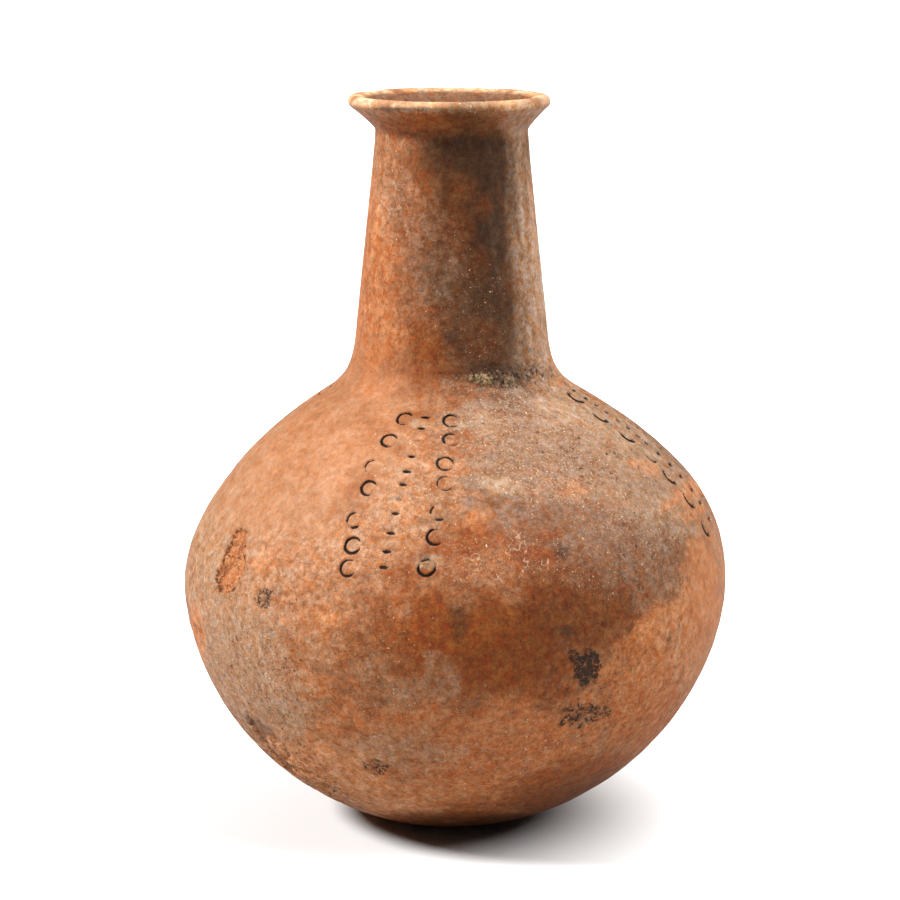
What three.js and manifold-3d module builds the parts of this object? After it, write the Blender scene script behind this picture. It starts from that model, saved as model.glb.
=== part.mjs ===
// A hand-built earthenware bottle: a globular belly, a tall tapering neck and a flared lip.
// Four panels on the shoulder carry two rows of rings, pressed with a cut reed, and a row of pricks between.
// Millimetres, +Z up. The origin is the middle of the small flat that the round base rests on.
import * as THREE from "three";
import { mergeVertices } from "three/addons/utils/BufferGeometryUtils.js";
import Module from "manifold-3d";

// Outside of the pot: radii and heights
const FLAT_RADIUS = 20;
const BELLY_RADIUS = 80;
const BELLY_HEIGHT = 70.7;
const SHOULDER_RADIUS = 36.4;
const SHOULDER_HEIGHT = 128;
const NECK_FOOT_RADIUS = 27.9;
const NECK_FOOT_HEIGHT = 145.7;
const NECK_TOP_RADIUS = 22.1;
const NECK_TOP_HEIGHT = 203.4;
const LIP_RADIUS = 29.2;
const TOTAL_HEIGHT = 213.4;

// Slopes of the outside, in degrees from level, going up the wall
const FLAT_SLOPE = 16;
const SHOULDER_SLOPE = 147;
const NECK_FOOT_SLOPE = 95.7;
const UNDER_LIP_SLOPE = 36;

// How far each curve holds its direction at its two ends
const FLAT_REACH = 50;
const BELLY_REACH_DOWN = 16;
const BELLY_REACH_UP = 31.5;
const SHOULDER_REACH_DOWN = 10;
const SHOULDER_REACH_UP = 8;
const NECK_FOOT_REACH = 8;
const NECK_TOP_REACH = 5;
const LIP_REACH = 1.2;

// The clay
const WALL = 5;
const FLOOR = 8;
const LIP_THICKNESS = 4;
const THROAT_RADIUS = 17.6;
const THROAT_DEPTH = 15;

// The hand-built axis wanders: the sideways shift of each station, towards +X
const FLAT_DRIFT = -0.8;
const UPPER_BELLY_DRIFT = 1.4;
const NECK_DRIFT = -0.95;
const LIP_DRIFT = -1.8;

// The groove that the reed leaves, and the prick of the pointed tool
const RING_RADIUS = 2.3;
const RING_WIDTH = 0.9;
const RING_DEPTH = 0.9;
const REED_LEAN = 12;
const PRICK_LENGTH = 2.8;
const PRICK_WIDTH = 1.2;
const PRICK_DEPTH = 1.3;

// Marks set out by eye. down is the distance along the wall from the foot of the neck, and out is how far
// to the side of the pricks a ring is.
const FRONT_MARKS = {
  pricks: [24, 28.5, 33.5, 39.5, 45, 49.5, 54.5, 59, 65, 70.5, 75],
  left: { down: [25, 34, 44, 51.5, 62, 69.5, 76], out: [5.7, 8, 10.4, 9.5, 11.4, 10.2, 10.2] },
  right: { down: [25, 32.5, 41.5, 48.5, 58, 65.5, 74.5], out: [7.7, 9.5, 10, 11.7, 12, 12.6, 12] },
};
const SIDE_MARKS = {
  pricks: [20, 24, 27.5, 31, 35, 38.5, 42, 45, 49.5, 54, 58.5, 63.5, 68, 73.5],
  left: { down: [22, 31, 40, 48.5, 56.5, 65, 74.5], out: [5.8, 7.8, 8, 8.1, 9, 8.6, 7.8] },
  right: { down: [22, 30.5, 39, 47.5, 56, 65.5, 74], out: [7, 8.7, 9, 8.6, 9.2, 8.8, 9] },
};

// The panels. turn is where the row of pricks starts and ends, in degrees round from the front (-Y) towards
// +X, and bite is the side of a ring where the leaning reed went deepest, in degrees up from its right.
const PANELS = [
  { marks: FRONT_MARKS, turn: [-11.5, -16], bite: 160 },
  { marks: SIDE_MARKS, turn: [79, 77.5], bite: 215 },
  { marks: FRONT_MARKS, turn: [168, 165], bite: 185 },
  { marks: SIDE_MARKS, turn: [259, 256], bite: 200 },
];

// The hollow left in the side by a flake of clay that has sprung off
const SPALL_TURN = -56.5;
const SPALL_HEIGHT = 85.5;
const SPALL_LENGTH = 24;
const SPALL_WIDTH = 10;
const SPALL_DEPTH = 1.7;
const SPALL_TILT = -8;

// How many facets round things are cut into
const ROUND_SIDES = 40;
const RING_SIDES = 8;

const degrees = THREE.MathUtils.degToRad;
const ease = THREE.MathUtils.smoothstep;
const between = THREE.MathUtils.lerp;

// A point at a distance from another, in a direction given in degrees from level.
function step(from, slope, reach) {
  const angle = degrees(slope);
  return new THREE.Vector2(from.x + reach * Math.cos(angle), from.y + reach * Math.sin(angle));
}

const station = (radius, height, slope) => ({ at: new THREE.Vector2(radius, height), slope });

// A smooth curve from one station to the next.
function curve(start, startReach, end, endReach) {
  const leave = step(start.at, start.slope, startReach);
  const arrive = step(end.at, end.slope, -endReach);
  return new THREE.CubicBezierCurve(start.at, leave, arrive, end.at);
}

// The round edge of the lip is an arc about this centre, from under the lip to its crest.
const lipRound = LIP_THICKNESS / 2;
const lipCentre = new THREE.Vector2(LIP_RADIUS - lipRound, TOTAL_HEIGHT - lipRound);

const flatEdge = station(FLAT_RADIUS, 0, FLAT_SLOPE);
const belly = station(BELLY_RADIUS, BELLY_HEIGHT, 90);
const shoulder = station(SHOULDER_RADIUS, SHOULDER_HEIGHT, SHOULDER_SLOPE);
const neckFoot = station(NECK_FOOT_RADIUS, NECK_FOOT_HEIGHT, NECK_FOOT_SLOPE);
const neckTop = station(NECK_TOP_RADIUS, NECK_TOP_HEIGHT, 90);
const underLip = { at: step(lipCentre, UNDER_LIP_SLOPE - 90, lipRound), slope: UNDER_LIP_SLOPE };

const lowerBelly = curve(flatEdge, FLAT_REACH, belly, BELLY_REACH_DOWN);
const upperBelly = curve(belly, BELLY_REACH_UP, shoulder, SHOULDER_REACH_DOWN);
const neckRoot = curve(shoulder, SHOULDER_REACH_UP, neckFoot, NECK_FOOT_REACH);
const neck = curve(neckFoot, NECK_FOOT_REACH, neckTop, NECK_TOP_REACH);
const flare = curve(neckTop, LIP_REACH, underLip, LIP_REACH);
const lipEdge = new THREE.EllipseCurve(
  lipCentre.x, lipCentre.y, lipRound, lipRound, degrees(UNDER_LIP_SLOPE - 90), degrees(90),
);

// The wall from the flat up to the foot of the neck, for measuring along it.
const bodyWall = new THREE.CurvePath();
[lowerBelly, upperBelly, neckRoot].forEach((piece) => bodyWall.add(piece));

// Points along a curve, without its first one, which the curve before it ends on.
const pointsOf = (piece, count) => piece.getPoints(count).slice(1);

// The outside, from the flat's edge up to the crest of the lip.
function outside() {
  const pieces = [[lowerBelly, 8], [upperBelly, 8], [neckRoot, 4], [neck, 3], [flare, 2], [lipEdge, 4]];
  return [flatEdge.at, ...pieces.flatMap(([piece, count]) => pointsOf(piece, count))];
}

// The clay is thickest at the floor and thins to the wall by the widest part of the belly.
const thicknessAt = (height) => between(FLOOR, WALL, ease(height, 0, BELLY_HEIGHT));

// One curve of the inside: the outside moved in, square to itself, by the clay's thickness.
function insideOf(piece, count) {
  const made = [];
  for (let i = 0; i <= count; i++) {
    const at = piece.getPoint(i / count);
    const along = piece.getTangent(i / count);
    const inwards = new THREE.Vector2(-along.y, along.x);
    made.push(at.addScaledVector(inwards, thicknessAt(at.y)));
  }
  return made;
}

// The inside, from the axis on the floor up to the throat and out to just short of the crest.
function inside() {
  const floorMiddle = new THREE.Vector2(0, FLOOR);
  const throat = new THREE.Vector2(THROAT_RADIUS, TOTAL_HEIGHT - THROAT_DEPTH);
  const crest = new THREE.Vector2(lipCentre.x, TOTAL_HEIGHT);
  const bend = new THREE.Vector2(throat.x, crest.y - lipRound);
  const pieces = [[lowerBelly, 5], [upperBelly, 4], [neckRoot, 2], [neck, 2]];
  const climb = pieces.flatMap(([piece, count]) => insideOf(piece, count));
  const hollow = climb.filter((point, i) => {
    const rises = i === 0 || point.distanceTo(climb[i - 1]) > 0.1;
    return rises && point.y < throat.y - WALL;
  });
  const funnel = new THREE.QuadraticBezierCurve(throat, bend, crest);
  return [floorMiddle, ...hollow, ...funnel.getPoints(4).slice(0, -1)];
}

// How far the axis has wandered at a height, easing from station to station.
function driftAt(height) {
  const stations = [
    [0, FLAT_DRIFT],
    [BELLY_HEIGHT, 0],
    [(BELLY_HEIGHT + SHOULDER_HEIGHT) / 2, UPPER_BELLY_DRIFT],
    [(SHOULDER_HEIGHT + NECK_FOOT_HEIGHT) / 2, NECK_DRIFT],
    [NECK_TOP_HEIGHT, NECK_DRIFT],
    [TOTAL_HEIGHT, LIP_DRIFT],
  ];
  const above = stations.findIndex(([at]) => at > height);
  if (above < 0) return LIP_DRIFT;
  if (above === 0) return FLAT_DRIFT;
  const [low, lowDrift] = stations[above - 1];
  const [high, highDrift] = stations[above];
  return between(lowDrift, highDrift, ease(height, low, high));
}

// The plain pot, turned about +Z and then drawn off its axis.
function potGeometry() {
  const profile = [new THREE.Vector2(0, 0), ...outside(), ...inside().reverse()];
  const turned = new THREE.LatheGeometry(profile, ROUND_SIDES);
  turned.rotateX(Math.PI / 2);
  const points = turned.getAttribute("position");
  for (let i = 0; i < points.count; i++) {
    points.setX(i, points.getX(i) + driftAt(points.getZ(i)));
  }
  return turned;
}

const wasm = await Module();
wasm.setup();

// A closed geometry as a solid that can be cut.
function solidOf(geometry) {
  const bare = geometry.clone();
  bare.deleteAttribute("normal");
  bare.deleteAttribute("uv");
  const merged = mergeVertices(bare, 1e-4);
  return new wasm.Manifold(
    new wasm.Mesh({
      numProp: 3,
      vertProperties: merged.getAttribute("position").array,
      triVerts: new Uint32Array(merged.index.array),
    }),
  );
}

// Puts a cutter on the outside, a distance down the wall from the foot of the neck, with its +Z pointing
// out of the clay and its +Y up the wall. A sideways step is measured round the wall, towards +X.
function putOnWall(cutter, turn, down, sideways = 0) {
  const share = 1 - down / bodyWall.getLength();
  const at = bodyWall.getPointAt(share);
  const along = bodyWall.getTangentAt(share);
  const angle = degrees(turn) + sideways / at.x;
  const across = new THREE.Vector3(Math.cos(angle), Math.sin(angle), 0);
  const away = new THREE.Vector3(Math.sin(angle), -Math.cos(angle), 0);
  const up = away.clone().multiplyScalar(along.x).setZ(along.y);
  const out = new THREE.Vector3().crossVectors(across, up);
  const position = away.multiplyScalar(at.x).setZ(at.y);
  position.x += driftAt(at.y);
  return cutter.applyMatrix4(new THREE.Matrix4().makeBasis(across, up, out).setPosition(position));
}

// The distance down the wall from the foot of the neck at which it has fallen to a height.
function distanceDownTo(height) {
  const length = bodyWall.getLength();
  let low = 0;
  let high = length;
  while (high - low > 0.01) {
    const middle = (low + high) / 2;
    if (bodyWall.getPointAt(1 - middle / length).y > height) low = middle;
    else high = middle;
  }
  return low;
}

// The ring groove of a reed that leans over towards the side named by bite, and so goes deepest there.
function ringCutter(bite, lean) {
  const above = 1.6 * RING_DEPTH;
  const half = (RING_WIDTH / 2) * (1 + above / RING_DEPTH);
  const groove = [
    new THREE.Vector2(RING_RADIUS, -RING_DEPTH),
    new THREE.Vector2(RING_RADIUS + half, above),
    new THREE.Vector2(RING_RADIUS - half, above),
    new THREE.Vector2(RING_RADIUS, -RING_DEPTH),
  ];
  const cutter = new THREE.LatheGeometry(groove, RING_SIDES);
  cutter.rotateX(Math.PI / 2);
  const hinge = new THREE.Vector3(-Math.sin(degrees(bite)), Math.cos(degrees(bite)), 0);
  return cutter.applyMatrix4(new THREE.Matrix4().makeRotationAxis(hinge, degrees(lean)));
}

// A four-sided pit, long from side to side.
function prickCutter() {
  const pit = new THREE.ConeGeometry(1, 2 * PRICK_DEPTH, 4);
  pit.rotateX(-Math.PI / 2);
  return pit.scale(PRICK_LENGTH, PRICK_WIDTH, 1);
}

// The hand's wobble: it differs from mark to mark and never falls into step.
const wobble = (mark, size) => size * Math.sin(12.9 * mark + 4.1);

// The marks of one panel, as cutters in their places.
function panelCutters({ marks, turn, bite }, number) {
  const [first, last] = [marks.pricks[0], marks.pricks.at(-1)];
  // The row bends first and then runs straight down.
  const turnAt = (down) => {
    const share = (down - first) / (last - first);
    return between(turn[0], turn[1], share * (2 - share));
  };
  const row = (side, sign) =>
    side.down.map((down, i) => {
      const mark = 10 * number + sign + 3 * i;
      const cutter = ringCutter(bite + wobble(mark, 25), REED_LEAN + wobble(mark + 1, 4));
      return putOnWall(cutter, turnAt(down), down, sign * side.out[i]);
    });
  const pricks = marks.pricks.map((down) => putOnWall(prickCutter(), turnAt(down), down));
  return [...row(marks.left, -1), ...row(marks.right, 1), ...pricks];
}

// A shallow uneven scoop, long down the wall.
function spallCutter() {
  const scoop = new THREE.IcosahedronGeometry(1, 1);
  scoop.scale(SPALL_WIDTH / 2, SPALL_LENGTH / 2, SPALL_DEPTH);
  scoop.rotateZ(degrees(SPALL_TILT));
  return putOnWall(scoop, SPALL_TURN, distanceDownTo(SPALL_HEIGHT));
}

// The pot with every mark cut into it.
function vaseGeometry() {
  const cutters = [...PANELS.flatMap(panelCutters), spallCutter()];
  const marks = wasm.Manifold.union(cutters.map(solidOf));
  const made = solidOf(potGeometry()).subtract(marks).getMesh();
  const geometry = new THREE.BufferGeometry();
  geometry.setAttribute("position", new THREE.BufferAttribute(made.vertProperties, 3));
  geometry.setIndex(new THREE.BufferAttribute(made.triVerts, 1));
  geometry.computeVertexNormals();
  return geometry;
}

const earthenware = new THREE.MeshStandardMaterial({
  color: "#a9623c",
  roughness: 0.72,
  metalness: 0,
  flatShading: true,
});

const vase = new THREE.Mesh(vaseGeometry(), earthenware);
vase.name = "vase";

const bottle = new THREE.Group();
bottle.add(vase);

export default bottle;
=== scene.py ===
# %% [markdown]
# # A bulbous earthenware bottle
# The real bottle was built up by hand from coarse red clay, scraped thin, rubbed smooth with a pebble and
# baked in an open fire. Before the fire its shoulder was marked with a cut reed and a pointed stick. Since
# then it has lain in the ground, so dust, roots, chips and soot have all left something on it.
#
# The frame is the solid pot that the rest of the work is measured from. It is loaded first, and every size
# below is in its millimetres, turned to metres only where a mesh is made.

import math
from collections import namedtuple

import bmesh
import bpy
import numpy as np
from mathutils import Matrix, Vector, noise


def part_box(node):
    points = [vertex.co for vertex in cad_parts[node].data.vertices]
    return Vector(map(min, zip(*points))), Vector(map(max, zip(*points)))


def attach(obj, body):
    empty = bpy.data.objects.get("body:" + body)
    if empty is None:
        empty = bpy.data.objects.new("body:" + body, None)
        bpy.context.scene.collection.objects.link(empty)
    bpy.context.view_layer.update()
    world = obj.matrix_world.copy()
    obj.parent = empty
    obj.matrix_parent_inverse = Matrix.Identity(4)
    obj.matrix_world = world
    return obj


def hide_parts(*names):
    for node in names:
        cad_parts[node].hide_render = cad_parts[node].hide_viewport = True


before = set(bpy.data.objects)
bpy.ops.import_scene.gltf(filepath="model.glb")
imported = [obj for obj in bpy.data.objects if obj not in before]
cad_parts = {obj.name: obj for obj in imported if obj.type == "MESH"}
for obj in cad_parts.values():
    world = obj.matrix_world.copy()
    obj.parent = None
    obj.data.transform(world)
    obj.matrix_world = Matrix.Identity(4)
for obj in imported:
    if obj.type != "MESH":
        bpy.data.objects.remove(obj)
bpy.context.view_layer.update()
bpy.ops.object.select_all(action="DESELECT")

MM = 0.001
low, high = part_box("vase")
TALL = (high.z - low.z) / MM
WIDEST = (high.x - low.x) / 2 / MM
print(f"the pot is {TALL:.1f} mm tall and {2 * WIDEST:.1f} mm across")

# %% [markdown]
# ## The camera
# The picture was taken with a long lens from a little above the lip, about 0.9 m away. A long lens keeps
# the belly from swelling towards the viewer. Camera first, because every later choice is judged through it.

# %% Camera
CAMERA_AWAY = 0.900
CAMERA_HEIGHT = 0.2826
CAMERA_DIP = 0.1916
LENS = 124.72
SENSOR = 36
PICTURE = 900
MIDDLE_X = 455
MIDDLE_Y = 453.95

bpy.ops.object.camera_add(
    location=(0, -CAMERA_AWAY, CAMERA_HEIGHT), rotation=(math.pi / 2 - CAMERA_DIP, 0, 0)
)
camera = bpy.context.object
camera.data.lens = LENS
camera.data.sensor_width = SENSOR
# The optical middle lies a few pixels off the middle of the picture.
camera.data.shift_x = (PICTURE / 2 - MIDDLE_X) / PICTURE
camera.data.shift_y = (MIDDLE_Y - PICTURE / 2) / PICTURE
bpy.context.scene.camera = camera
print("camera", round(CAMERA_AWAY, 3), "m away with a lens of", LENS, "mm")

# %% [markdown]
# ## Floor and light
# A white sheet and soft studio light. Each softbox is a sun lamp with a wide disc: the light is as soft as
# a box of that size would give, but the floor stays evenly white as far as it goes.

# %% White sheets
# The camera sees a white sheet. What lights the pot from below is a greyer one just under it: a single
# sheet that is white enough for the picture would throw up so much light that the belly looks flat.
FLOOR_SIZE = 30
SHEETS = {"white_sheet": (0.70, 0), "grey_sheet": (0.47, -0.5)}

for name, (grey, height) in SHEETS.items():
    bpy.ops.mesh.primitive_plane_add(size=FLOOR_SIZE, location=(0, 0, height * MM))
    sheet = bpy.context.object
    sheet.name = name
    seen = name == "white_sheet"
    sheet.visible_camera = seen
    sheet.visible_diffuse = sheet.visible_glossy = sheet.visible_shadow = not seen
    paper = bpy.data.materials.new("matt paper " + name)
    paper.use_nodes = True
    paper.node_tree.nodes["Principled BSDF"].inputs["Base Color"].default_value = (grey, grey, grey, 1)
    paper.node_tree.nodes["Principled BSDF"].inputs["Roughness"].default_value = 0.9
    sheet.data.materials.append(paper)
print("sheets of", FLOOR_SIZE, "m")

# %% Softboxes
# Where each one stands, in degrees round from the front towards the right and in degrees up, then its
# strength and the width of its disc in degrees. The one at the left is the smallest, so its shadow is sharp.
SOFTBOXES = {
    "left_box": (-78, 40, 6.2, 14),
    "right_box": (84, 58, 5.9, 60),
    "back_box": (178, 62, 0.8, 60),
}
SKY = 0.02


def direction(turn, rise):
    """The direction from the pot to something at this turn and rise, both in degrees."""
    t = math.radians(turn)
    r = math.radians(rise)
    return Vector((math.sin(t) * math.cos(r), -math.cos(t) * math.cos(r), math.sin(r)))


for name, (turn, rise, strength, disc) in SOFTBOXES.items():
    towards = direction(turn, rise)
    bpy.ops.object.light_add(
        type="SUN", location=towards, rotation=towards.to_track_quat("Z", "Y").to_euler()
    )
    lamp = bpy.context.object
    lamp.name = name
    lamp.data.energy = strength
    lamp.data.angle = math.radians(disc)
    print(name, "at", turn, "round and", rise, "up")

world = bpy.data.worlds.new("pale room")
world.use_nodes = True
world.node_tree.nodes["Background"].inputs["Color"].default_value = (1, 1, 1, 1)
world.node_tree.nodes["Background"].inputs["Strength"].default_value = SKY
bpy.context.scene.world = world
bpy.context.scene.view_settings.view_transform = "Standard"

# %% [markdown]
# ## The template
# A potter checks a pot with a template: a board cut to the profile. Here it is a chain of smooth curves
# between stations. A station is a radius, a height and the slope of the wall there. The outside has the
# numbers of the solid, so the skin lies exactly on it there. The inside is out of sight below the mouth, so
# it is plainer: the wall keeps one thickness down to the floor.

# %% Stations of the outside
Station = namedtuple("Station", "radius height slope")

flat_edge = Station(20, 0, 16)
belly = Station(WIDEST, 70.7, 90)
shoulder = Station(36.4, 128, 147)
neck_foot = Station(27.9, 145.7, 95.7)
neck_top = Station(22.1, 203.4, 90)
LIP_RADIUS = 29.2
LIP_ROUND = 2
UNDER_LIP_SLOPE = 36
WALL = 5
FLOOR_CLAY = 8
FLOOR_RADIUS = 12
THROAT_RADIUS = 17.6
THROAT_DEPTH = 15


def step(station, distance):
    """The point at a distance along a station's slope, as radius and height."""
    a = math.radians(station.slope)
    return np.array([station.radius + distance * math.cos(a), station.height + distance * math.sin(a)])


def curve(start, reach_out, end, reach_in, rows):
    """A cubic curve from one station to the next. Each holds its slope for its reach."""
    corners = [step(start, 0), step(start, reach_out), step(end, -reach_in), step(end, 0)]
    t = np.linspace(0, 1, rows + 1)[:, None]
    shares = [(1 - t) ** 3, 3 * (1 - t) ** 2 * t, 3 * (1 - t) * t**2, t**3]
    return sum(share * corner for share, corner in zip(shares, corners))


def arc(middle, radius, first, last, rows):
    """Part of a circle in the plane of the template, between two angles in degrees."""
    a = np.radians(np.linspace(first, last, rows + 1))
    return middle + radius * np.column_stack([np.cos(a), np.sin(a)])


lip_middle = np.array([LIP_RADIUS - LIP_ROUND, TALL - LIP_ROUND])
under_lip_point = arc(lip_middle, LIP_ROUND, UNDER_LIP_SLOPE - 90, 0, 1)[0]
under_lip = Station(*under_lip_point, UNDER_LIP_SLOPE)


def moved_in(station, clay):
    """A station of the inside: the outside one, moved in square to the wall by the clay's thickness."""
    sideways = Station(station.radius, station.height, station.slope + 90)
    return Station(*step(sideways, clay), station.slope)


def profile(fine):
    """The whole template, from the middle of the underside to the middle of the floor inside."""
    outside = [
        np.linspace([0, 0], [flat_edge.radius, 0], 5 * fine + 1),
        curve(flat_edge, 50, belly, 16, 40 * fine),
        curve(belly, 31.5, shoulder, 10, 30 * fine),
        curve(shoulder, 8, neck_foot, 8, 10 * fine),
        curve(neck_foot, 8, neck_top, 5, 36 * fine),
        curve(neck_top, 1.2, under_lip, 1.2, 9 * fine),
        arc(lip_middle, LIP_ROUND, UNDER_LIP_SLOPE - 90, 90, 10 * fine),
    ]
    crest = Station(lip_middle[0], TALL, 180)
    throat = Station(THROAT_RADIUS, TALL - THROAT_DEPTH, -90)
    inner = [moved_in(neck_foot, WALL), moved_in(shoulder, WALL), moved_in(belly, WALL)]
    going_down = [Station(s.radius, s.height, s.slope - 180) for s in inner]
    floor_edge = Station(FLOOR_RADIUS, FLOOR_CLAY + 0.2, -178)
    inside = [
        curve(crest, 5, throat, 7, 8 * fine),
        curve(throat, 18, going_down[0], 18, 6 * fine),
        curve(going_down[0], 7, going_down[1], 7, 3 * fine),
        curve(going_down[1], 10, going_down[2], 29, 8 * fine),
        curve(going_down[2], 15, floor_edge, 52, 11 * fine),
        np.linspace([floor_edge.radius, floor_edge.height], [0, FLOOR_CLAY], 3 * fine + 1),
    ]
    points = np.vstack([part if i == 0 else part[1:] for i, part in enumerate(outside + inside)])
    rows_outside = sum(len(part) for part in outside) - len(outside)
    return points, rows_outside


def run_along(points):
    """How far along the template each point is."""
    return np.concatenate([[0], np.cumsum(np.linalg.norm(np.diff(points, axis=0), axis=1))])


template, crest_row = profile(1)
print(len(template), "points, and the wall is", round(run_along(template)[crest_row]), "mm up the outside")

# %% [markdown]
# ## Turning the pot
# One vertex is pulled along the template as a string of short edges, and the string is spun round the axis.
# The first and last columns and the two ends on the axis are then merged, which closes the skin. Before the
# spin every vertex gets its distance along the template, and spinning and cutting carry it along, so each
# later vertex still knows where it is on the wall.

# %% Spin
COLUMNS = 200

bpy.ops.mesh.primitive_plane_add(size=MM, location=(0, 0, 0))
pot = bpy.context.object
pot.name = "burnished_bottle"
bpy.ops.object.mode_set(mode="EDIT")
bpy.ops.mesh.select_all(action="SELECT")
bpy.ops.mesh.merge(type="CENTER")
here = Vector((0, 0, 0))
for radius, height in template[1:]:
    there = Vector((0, -radius, height)) * MM
    bpy.ops.mesh.extrude_region_move(TRANSFORM_OT_translate={"value": there - here})
    here = there
bpy.ops.object.mode_set(mode="OBJECT")
along = pot.data.attributes.new("along", "FLOAT", "POINT")
along.data.foreach_set("value", run_along(template))
bpy.ops.object.mode_set(mode="EDIT")
bpy.ops.mesh.select_all(action="SELECT")
bpy.ops.mesh.spin(steps=COLUMNS, angle=2 * math.pi, center=(0, 0, 0), axis=(0, 0, 1))
bpy.ops.mesh.select_all(action="SELECT")
bpy.ops.mesh.remove_doubles(threshold=0.01 * MM)
bpy.ops.mesh.normals_make_consistent(inside=False)
bpy.ops.object.mode_set(mode="OBJECT")
print("spun", len(pot.data.vertices), "vertices and", len(pot.data.polygons), "faces")

# %% [markdown]
# ## Measuring on the wall
# All that the pot carries is placed by its turn, in degrees round from the front towards the right, and its
# height. A fine copy of the template turns a height into a distance along the wall and back.

# %% Rulers
fine_points, fine_crest = profile(12)
fine_run = run_along(fine_points)
fine_slope = np.gradient(fine_points, fine_run, axis=0)
fine_slope /= np.linalg.norm(fine_slope, axis=1)[:, None]
outer_points = fine_points[: fine_crest + 1]
outer_run = fine_run[: fine_crest + 1]
CREST = outer_run[-1]

# How far the pot's own axis wanders to the right, at a row of heights.
DRIFT_HEIGHTS = [0, belly.height, (belly.height + shoulder.height) / 2]
DRIFT_HEIGHTS += [(shoulder.height + neck_foot.height) / 2, neck_top.height, TALL]
DRIFTS = [-0.8, 0, 1.4, -0.95, -0.95, -1.8]


def ease(value, start, end):
    """0 before start, 1 after end and a smooth step between."""
    t = np.clip((value - start) / (end - start), 0, 1)
    return t * t * (3 - 2 * t)


def drift_at(height):
    """The sideways shift of the axis at a height."""
    shift = np.full(np.shape(height), float(DRIFTS[0]))
    for i in range(1, len(DRIFTS)):
        share = ease(height, DRIFT_HEIGHTS[i - 1], DRIFT_HEIGHTS[i])
        shift = shift + (DRIFTS[i] - DRIFTS[i - 1]) * share
    return shift


def run_at(height):
    """The distance along the outside at a height."""
    return np.interp(height, outer_points[:, 1], outer_run)


def radius_at(height):
    """The outer radius at a height."""
    return np.interp(height, outer_points[:, 1], outer_points[:, 0])


print("the crest of the lip is", round(CREST, 1), "mm along the wall")

# %% Where the vertices are
Wall = namedtuple("Wall", "turn along height outside points out spot facing turned")


def read(data, name, width=1):
    """One attribute of every vertex as an array."""
    values = np.empty(len(data.vertices) * width)
    data.attributes[name].data.foreach_get("value" if width == 1 else "vector", values)
    return values if width == 1 else values.reshape(-1, width)


def picture(points):
    """Where the camera sees points of the pot, in pixels from the left and from the top of the picture."""
    from_lens = points + np.array([0, CAMERA_AWAY, -CAMERA_HEIGHT]) / MM
    depth = from_lens[:, 1] * math.cos(CAMERA_DIP) - from_lens[:, 2] * math.sin(CAMERA_DIP)
    rise = from_lens[:, 1] * math.sin(CAMERA_DIP) + from_lens[:, 2] * math.cos(CAMERA_DIP)
    zoom = LENS / SENSOR * PICTURE / depth
    return np.column_stack([MIDDLE_X + zoom * from_lens[:, 0], MIDDLE_Y - zoom * rise])


def read_wall(data):
    """Each vertex: its turn, its distance along the template, its place there and the way out of the clay."""
    flat = read(data, "position", 3)
    turn = np.arctan2(flat[:, 0], -flat[:, 1])
    along = read(data, "along")
    radius = np.interp(along, fine_run, fine_points[:, 0])
    height = np.interp(along, fine_run, fine_points[:, 1])
    rise = np.interp(along, fine_run, fine_slope[:, 1])
    level = np.interp(along, fine_run, fine_slope[:, 0])
    points = np.column_stack([radius * np.sin(turn), -radius * np.cos(turn), height])
    out = np.column_stack([rise * np.sin(turn), -rise * np.cos(turn), -level])
    lens = np.array([0, -CAMERA_AWAY, CAMERA_HEIGHT]) / MM
    outside = along <= CREST
    to_lens = lens - points
    towards = np.einsum("ij,ij->i", out, to_lens) / np.linalg.norm(to_lens, axis=1)
    facing = outside & (towards > 0)
    turned = np.degrees(np.arcsin(np.clip(-towards, 0, 1)))
    drifted = points + np.column_stack([drift_at(height), 0 * height, 0 * height])
    return Wall(np.degrees(turn), along, height, outside, points, out, picture(drifted), facing, turned)


def from_mark(wall, turn, height):
    """How far each vertex is from a mark, to the right and up the wall, in millimetres."""
    round_to = (wall.turn - turn + 180) % 360 - 180
    return np.radians(round_to) * radius_at(height), wall.along - run_at(height)


print("rulers ready")

# %% [markdown]
# ## The marks
# Four panels sit on the shoulder. Each has two rows of rings, pressed with the end of a cut reed, and a row
# of pricks between. The reed leaned, so most rings are deep on one side and fade out on the other. The
# first panel faces the viewer, so each of its rings is described by itself: the side that went deepest, how
# much of the circle is there and how deep it is. So is the row of the second panel that shows at the pot's
# edge. The others get the same hand, with the wobble of a seeded draw.

# %% Marks
RING_RADIUS = 2.3
RING_GROOVE = 0.48
RING_DEPTH = 0.75
PRICK_HALF = 1.6
PRICK_RISE = 0.66
PRICK_DEPTH = 1.2
SIDE_PRICKS_LARGER = 1.3

Ring = namedtuple("Ring", "turn height arcs")
Prick = namedtuple("Prick", "turn height half rise depth")

# down is in millimetres down the wall from the foot of the neck, and out is to the side of the pricks.
FRONT_PRICKS = [24, 28.5, 33.5, 39.5, 45, 49.5, 54.5, 59, 65, 70.5, 75]
FRONT_LEFT = [(25, 5.7), (34, 8), (44, 10.4), (51.5, 9.5), (62, 11.4), (69.5, 10.2), (76, 10.2)]
FRONT_RIGHT = [(25, 7.7), (32.5, 9.5), (41.5, 10), (48.5, 11.7), (58, 12), (65.5, 12.6), (74.5, 12)]
SIDE_PRICKS = [20, 24, 27.5, 31, 35, 38.5, 42, 45, 49.5, 54, 58.5, 63.5, 68, 73.5]
SIDE_LEFT = [(22, 5.8), (31, 7.8), (40, 8), (48.5, 8.1), (56.5, 9), (65, 8.6), (74.5, 7.8)]
SIDE_RIGHT = [(22, 7), (30.5, 8.7), (39, 9), (47.5, 8.6), (56, 9.2), (65.5, 8.8), (74, 9)]

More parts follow.
